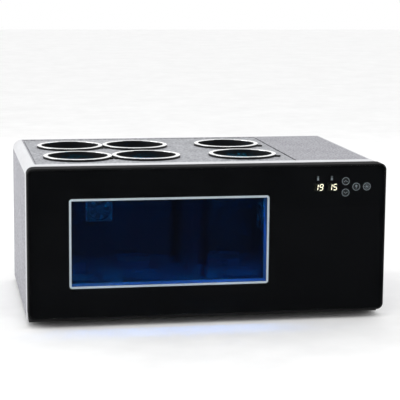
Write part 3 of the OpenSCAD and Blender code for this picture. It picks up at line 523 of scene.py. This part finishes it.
def casing_path(inset):
    """The casing's section from its lower left edge over the top to its lower right edge,
    as points across and up, each with whether the stretch after it is a bend."""
    side, top, bend = high.x - inset, high.z - inset, BEND - inset
    arc = [radians(90 * step / BEND_STEPS) for step in range(BEND_STEPS + 1)]
    hold = MM
    left = [(-side, low.z, False), (-side, top - bend - hold, False)]
    left += [(-side + bend * (1 - cos(a)), top - bend * (1 - sin(a)), a != arc[-1])
             for a in arc]
    left += [(hold + bend - side, top, False), (plate_low.x - SEAM, top, False)]
    right = [(hold + bend - side, top, False)] + \
        [(-side + bend * (1 - cos(a)), top - bend * (1 - sin(a)), a != arc[0])
         for a in reversed(arc)]
    right += [(-side, top - bend - hold, False), (-side, low.z, False)]
    return left + [(plate_high.x + SEAM, top, False)] + [(-x, z, b) for x, z, b in right]


form = bmesh.new()
path = casing_path(0)
depths = [low.y, plate_low.y - SEAM, plate_high.y + SEAM, high.y]
grid = [[form.verts.new((x, y, z)) for x, z, _ in path] for y in depths]
hole = next(i for i, (x, z, _) in enumerate(path) if x == plate_low.x - SEAM)
for row in range(len(depths) - 1):
    for i in range(len(path) - 1):
        if row == 1 and i == hole:
            continue
        face = form.faces.new((grid[row][i + 1], grid[row][i], grid[row + 1][i],
                               grid[row + 1][i + 1]))
        face.smooth = True
        # The front margin and the bends take the lighter satin coat: a painted highlight along
        # them.
        face.material_index = 1 if row == 0 or path[i][2] else 0
casing = show(form, "casing_sheet", "cabinet", ["casing"],
              [silver_coat_pebble_shade, satin_painted_highlight], outward=False)
sheet = casing.modifiers.new("sheet", "SOLIDIFY")
sheet.thickness, sheet.offset = SHEET, -1
ease = casing.modifiers.new("ease", "BEVEL")
ease.width, ease.segments, ease.limit_method = 0.35 * MM, 2, "ANGLE"

form = bmesh.new()
flange = [point[:2] for point in casing_path(SHEET)]
flange += [point[:2] for point in reversed(casing_path(SHEET + FLANGE_WIDE))]
sweep(form, [lambda cut: flange], [(back_low.y - SHEET, 0), (back_low.y, 0)], upright)
show(form, "casing_flange", "cabinet", [], [satin_painted_highlight])
# The same embossed coat on the insert plate, with the same painted light and shade on its pebbles
coat(finish("plate_embossed_painted_shade", ("#797b80", "#b8b9be"), (0.5, 0.62), GRAIN, 0.3 * MM,
            spread=0.16, drift=0.15, Specular_IOR_Level=0.1), "insert_plate")
coat(seal_rubber, "plate_gasket")
coat(cream_foam, "top_foam")

# Wells
# Six black collars drop through the plate, each with a ring pressed over its flange. The ring's
# top is plated;
# its outer wall is given the collars' black as a painted dark reflection. Both lift out by the
# finger tab.
# Polished chrome: a near mirror that turns white towards the room
chrome = finish("polished_chrome", ("#d6d8da", "#eceded"), (0.06, 0.12), 5 * MM, 0.004 * MM,
                Metallic=1.0)
# Moulded plastic: flat black, so the wells read as dark holes; on each ring's outer wall the same
# black is a painted dark reflection
collar_black_and_ring_reflection = finish("black_collar_and_ring_reflection", ("#0c0c0d", "#131314"), (0.5, 0.6), 1 * MM,
                        0.02 * MM, Specular_IOR_Level=0.2)
RING_EDGE, RING_WIDE, LIP, LIP_WIDE = 0.7 * MM, 6.6 * MM, 0.7 * MM, 1.8 * MM
bodies = ["front_left", "front_middle", "front_right", "rear_left", "rear_middle", "rear_right"]
for number, place in enumerate(bodies, 1):
    coat(collar_black_and_ring_reflection, f"collar_{number}")
    low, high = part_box(f"chrome_ring_{number}")
    middle, radius = (low + high) / 2, (high.x - low.x) / 2
    bore = RING_WIDE + LIP_WIDE
    outer = [(low.z, 0), (high.z - 1.3 * RING_EDGE, 0)]
    outer += [(high.z - RING_EDGE * (1 - sin(radians(a))), RING_EDGE * (1 - cos(radians(a))))
              for a in (0, 22, 45, 68, 90)]
    inner = [(high.z, bore - 0.4 * MM), (high.z - 0.1 * MM, bore - 0.1 * MM),
             (high.z - LIP, bore), (high.z - LIP, RING_WIDE), (low.z, RING_WIDE)]
    form = bmesh.new()
    sweep(form, [disc(middle.x, middle.y, radius, 128)], outer + inner, level, capped=False)
    # The outer wall below the rounded edge takes the black: a painted dark reflection of the
    # chrome.
    for face in form.faces:
        if all(vert.co.z < high.z - 1.2 * RING_EDGE for vert in face.verts):
            face.material_index = 1
    show(form, f"ring_{place}", f"collar_{place}", [f"chrome_ring_{number}"],
         [chrome, collar_black_and_ring_reflection])

# Studio
# A pale floor, large soft lights above, beside and behind, and the camera at standing
# height in front of the cooler and to its left.
FLOOR = 12
sheet = bpy.data.meshes.new("studio_floor")
sheet.from_pydata([(x * FLOOR, y * FLOOR, 0) for x, y in ((-1, -1), (1, -1), (1, 1), (-1, 1))],
                  [], [(0, 1, 2, 3)])
floor = bpy.data.objects.new("studio_floor", sheet)
bpy.context.scene.collection.objects.link(floor)
sheet.materials.append(finish("pale_studio_floor", ("#f4f4f4", "#fbfbfb"), (0.7, 0.8), 0.2, 0))


def soft_light(name, place, size, power, colour="#ffffff", aim=(0, 0, 0.15)):
    """A rectangular soft light at this place, turned to its aim."""
    lamp = bpy.data.lights.new(name, "AREA")
    lamp.shape, lamp.size, lamp.size_y = "RECTANGLE", *size
    lamp.energy, lamp.color = power, linear(colour)[:3]
    holder = bpy.data.objects.new(name, lamp)
    holder.location = place
    holder.rotation_euler = (Vector(aim) - Vector(place)).to_track_quat("-Z", "Y").to_euler()
    bpy.context.scene.collection.objects.link(holder)
    return holder


soft_light("overhead_light", (0, 0.4, 2.2), (2.6, 2.0), 1.5)
soft_light("left_light", (-2.4, 0.3, 1.0), (1.6, 1.6), 18)
soft_light("right_light", (2.4, -0.2, 1.2), (1.4, 1.4), 3)
soft_light("back_light", (0.2, 2.4, 1.2), (2.4, 1.4), 3)
soft_light("front_light", (-0.3, -1.6, 1.9), (1.6, 0.8), 10)

# A black cloth on the floor in front, which only reflections see: it keeps the floor's
# white out of the glass front, as a studio flag does.
CLOTH = 2.65
CLOTH_UP = 2.4
cloth_mesh = bpy.data.meshes.new("black_flag")
front = cad_box[0].y - 8 * MM
cloth_mesh.from_pydata([(x, y, z) for x in (-CLOTH, CLOTH) for y, z in
                        ((front, MM), (front - CLOTH, MM), (front - CLOTH, CLOTH_UP))],
                       [], [(0, 1, 4, 3), (1, 2, 5, 4)])
cloth = bpy.data.objects.new("black_flag", cloth_mesh)
bpy.context.scene.collection.objects.link(cloth)
cloth_mesh.materials.append(finish("black_flag_cloth", ("#111112", "#1a1a1b"), (0.9, 1.0),
                                   10 * MM, 0))
cloth.visible_camera = cloth.visible_diffuse = cloth.visible_shadow = False

world = bpy.data.worlds.new("studio_world")
bpy.context.scene.world = world
world.use_nodes = True
room = world.node_tree.nodes["Background"]
room.inputs["Color"].default_value = linear("#ffffff")
room.inputs["Strength"].default_value = 1.0
white = add(world.node_tree, "Background", {"Color": linear("#ffffff"), "Strength": 1.0})
seen = add(world.node_tree, "LightPath").outputs["Is Camera Ray"]
either = add(world.node_tree, "MixShader", {}, {0: seen, 1: room.outputs[0],
                                                2: white.outputs[0]})
world.node_tree.links.new(either.outputs[0],
                          world.node_tree.nodes["World Output"].inputs["Surface"])

CAMERA_AT = Vector((-499.1, -2856.7, 660.6)) * MM
CAMERA_AIM = Vector((-19.6, -224.0, 233.0)) * MM
CAMERA_ROLL = radians(0.473)
lens = bpy.data.cameras.new("studio_camera")
lens.lens, lens.sensor_width = 133.06, 36
lens.clip_start, lens.clip_end = 0.05, 60
camera = bpy.data.objects.new("studio_camera", lens)
look = (CAMERA_AIM - CAMERA_AT).to_track_quat("-Z", "Y").to_matrix().to_4x4()
camera.matrix_world = Matrix.Translation(CAMERA_AT) @ look @ Matrix.Rotation(CAMERA_ROLL, 4, "Z")
bpy.context.scene.collection.objects.link(camera)
bpy.context.scene.camera = camera
bpy.context.scene.view_settings.view_transform = "Standard"
